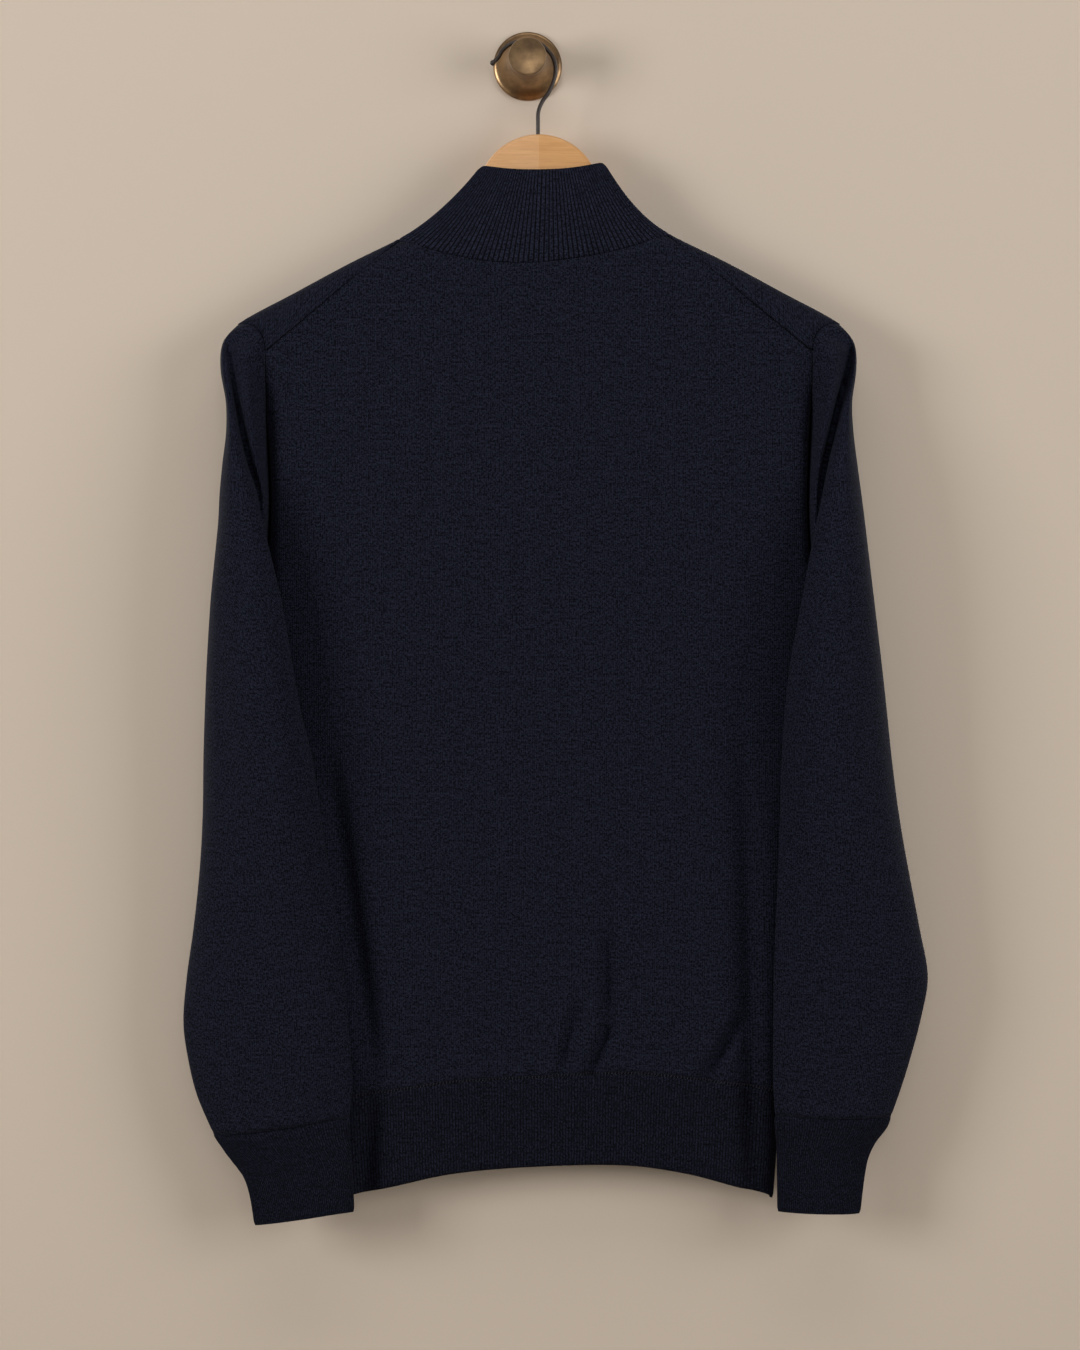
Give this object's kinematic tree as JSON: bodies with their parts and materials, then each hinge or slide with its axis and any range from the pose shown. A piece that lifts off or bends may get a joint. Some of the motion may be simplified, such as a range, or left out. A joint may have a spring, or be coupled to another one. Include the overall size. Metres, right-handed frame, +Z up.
{
  "type": "quarter zip sweater on a hanger",
  "caption": "Long-sleeved knitted quarter zip sweater with ribbed collar, cuffs and hem, hung by a wooden hanger on a round wall knob.",
  "frame": {"origin": "centre of the wall knob's flat back face, on the wall plane", "axes": "+Z up; +Y into the wall; the garment's back faces -Y, its zipped front faces the wall; +X to the right of a viewer who faces the wall"},
  "size_m": [0.5452, 0.084, 0.8807],
  "materials": {
    "jersey": "fine speckled jersey knit in dark navy, matt",
    "rib": "one by one rib knit in the same navy yarn",
    "zip_tape": "woven navy tape",
    "zip_metal": "dark gunmetal",
    "hanger_wood_left": "varnished pale hardwood",
    "hanger_wood_right": "varnished pale hardwood",
    "hook_wire": "black enamelled wire",
    "knob_brass": "aged satin brass"
  },
  "bodies": {
    "garment": {"back_panel": "jersey", "front_panel": "jersey", "sleeve_left": "jersey", "sleeve_right": "jersey", "cuff_left": "rib", "cuff_right": "rib", "hem_back": "rib", "hem_front": "rib", "collar": "rib", "zip_tape_left": "zip_tape", "zip_tape_right": "zip_tape", "zip_teeth": "zip_metal", "zip_slider": "zip_metal", "hanger_left": "hanger_wood_left", "hanger_right": "hanger_wood_right", "hanger_hook": "hook_wire", "wall_knob": "knob_brass"},
    "pull_tab": {"zip_pull": "zip_metal"}
  },
  "joints": [
    {"name": "pull_swing", "type": "hinge", "parent": "garment", "child": "pull_tab", "pos_m": [0.0084, -0.0135, -0.157], "axis": [1, 0, 0], "range_deg": [0, 26]}
  ]
}
